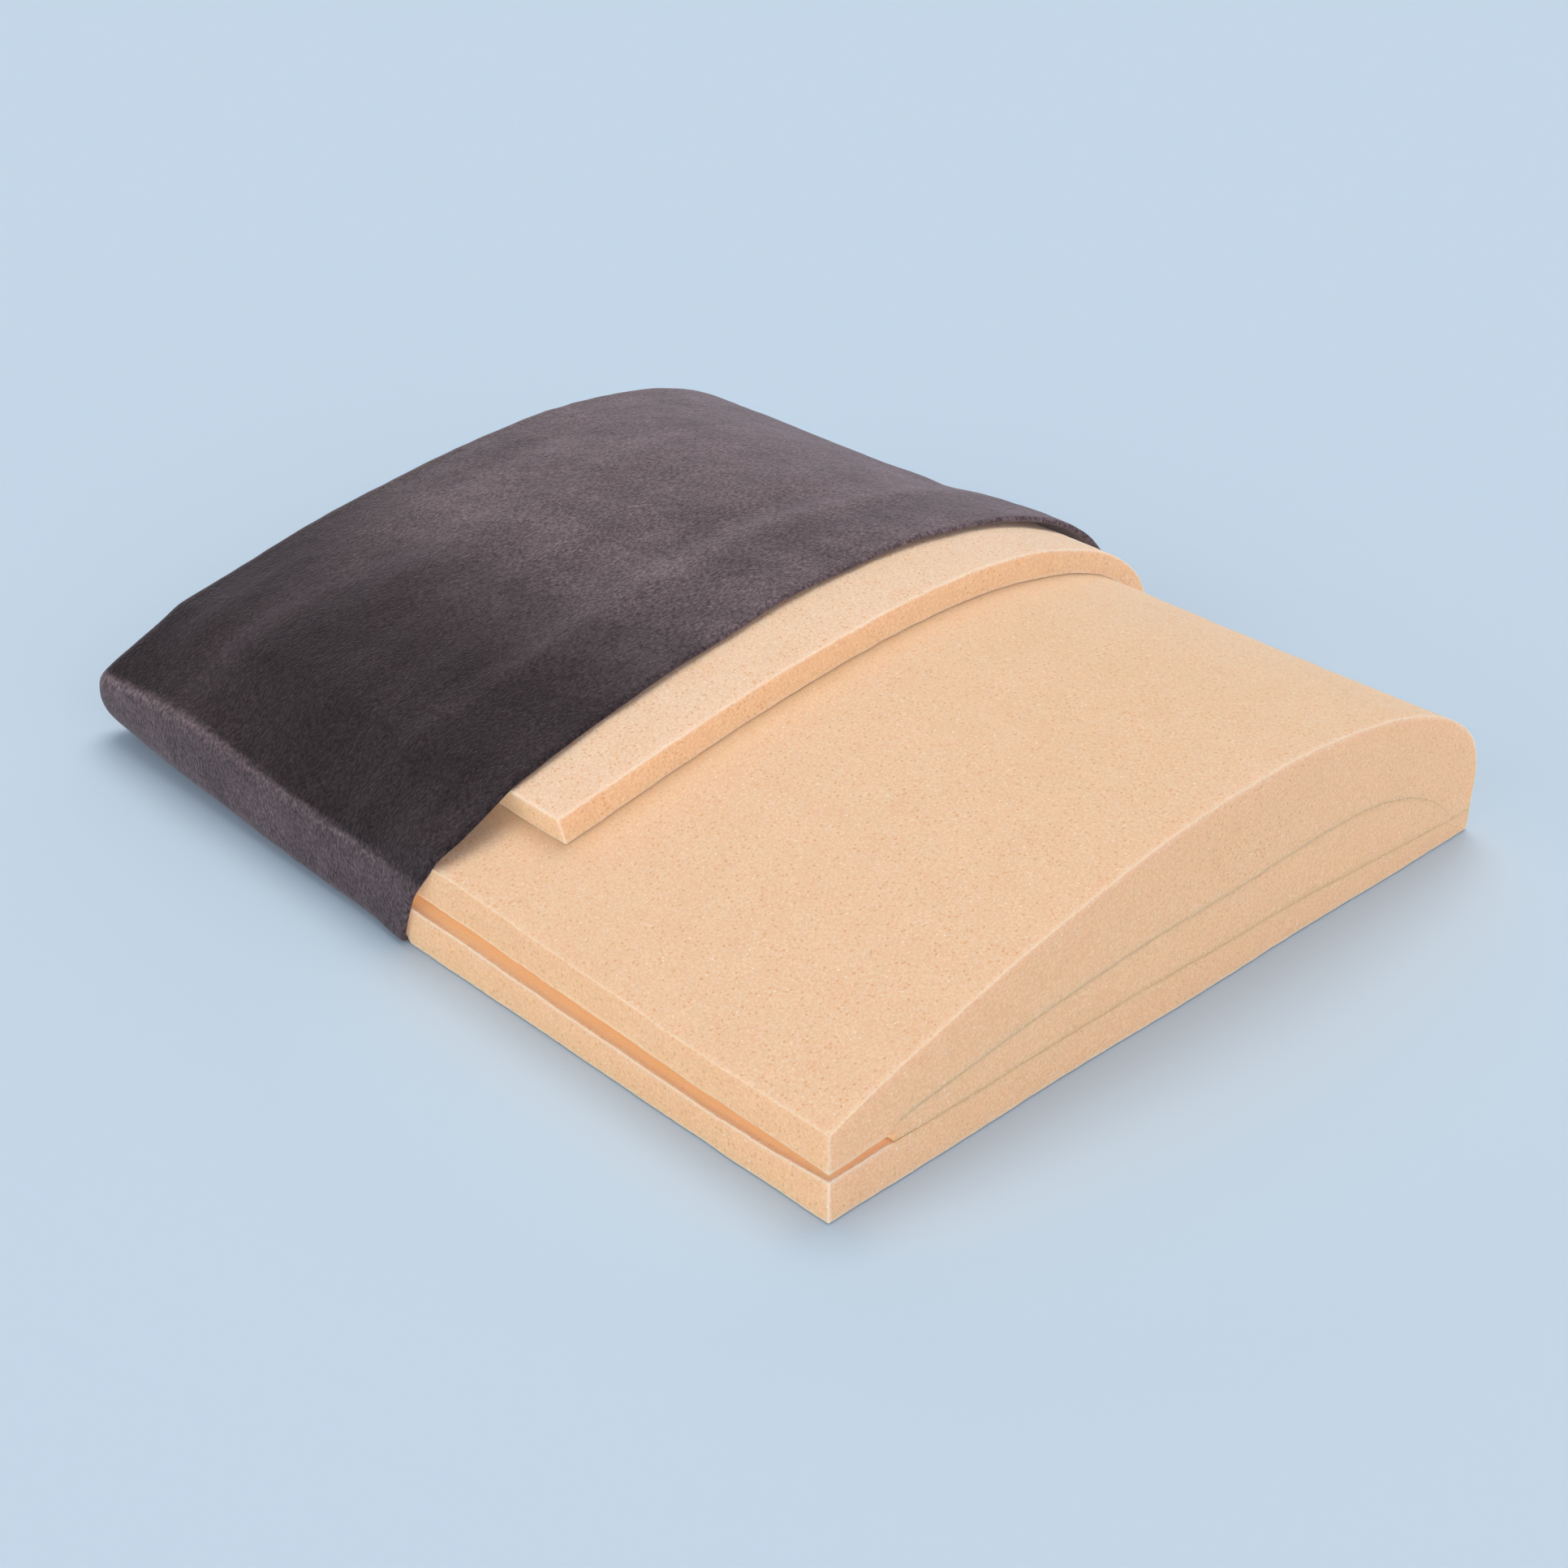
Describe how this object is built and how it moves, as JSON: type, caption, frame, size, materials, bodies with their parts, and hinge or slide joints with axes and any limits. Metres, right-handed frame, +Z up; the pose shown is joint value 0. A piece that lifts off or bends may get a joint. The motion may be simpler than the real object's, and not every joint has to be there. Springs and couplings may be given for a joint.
{
  "type": "contoured back support cushion",
  "caption": "Contoured foam back-support cushion: layered core with wedge insert and domed block, soft topper pad, and a zipped plush sleeve cover drawn half off to show the layers.",
  "frame": {"origin": "centre of the bounding box's bottom face, on the surface that the cushion lies on", "axes": "+X along the cushion's length towards the bare end of the foam, +Y towards the thick edge, +Z up out of the domed face"},
  "size_m": [0.4968, 0.4186, 0.1095],
  "materials": {
    "core_foam": "open-cell polyurethane foam, matte, fine pores",
    "topper_foam": "soft open-cell foam, matte, fine pores",
    "plush_cover": "charcoal velour with a short soft pile",
    "zip_tape": "woven polyester tape",
    "zip_teeth": "moulded plastic teeth",
    "zip_metal": "die-cast metal with a dark plated finish",
    "label_cloth": "plain white satin tape"
  },
  "bodies": {
    "core": {"base_sheet": "core_foam", "wedge_insert": "core_foam", "contour_block": "core_foam", "topper_pad": "topper_foam"},
    "cover": {"top_panel": "plush_cover", "near_side_panel": "plush_cover", "far_side_panel": "plush_cover", "underside_panel": "plush_cover", "end_panel_upper": "plush_cover", "end_panel_lower": "plush_cover", "mouth_turn_in": "plush_cover", "zip_tape_upper": "zip_tape", "zip_tape_lower": "zip_tape", "zip_teeth_upper": "zip_teeth", "zip_teeth_lower": "zip_teeth", "zip_top_stops": "zip_metal", "zip_bottom_stop": "zip_metal", "zip_end_tab_near": "plush_cover", "zip_end_tab_far": "plush_cover", "care_label": "label_cloth"},
    "zip_slider": {"zip_slider": "zip_metal"},
    "zip_pull": {"zip_pull": "zip_metal"}
  },
  "joints": [
    {"name": "cover_slide", "type": "slide", "parent": "core", "child": "cover", "axis": [-1, 0, 0], "range_m": [0, 0.27]},
    {"name": "zip_run", "type": "slide", "parent": "cover", "child": "zip_slider", "axis": [0, 1, 0], "range_m": [0, 0.29]},
    {"name": "zip_pull_swing", "type": "hinge", "parent": "zip_slider", "child": "zip_pull", "pos_m": [-0.24605, -0.15325, 0.024], "axis": [0, 0, 1], "range_deg": [0, 180]}
  ]
}
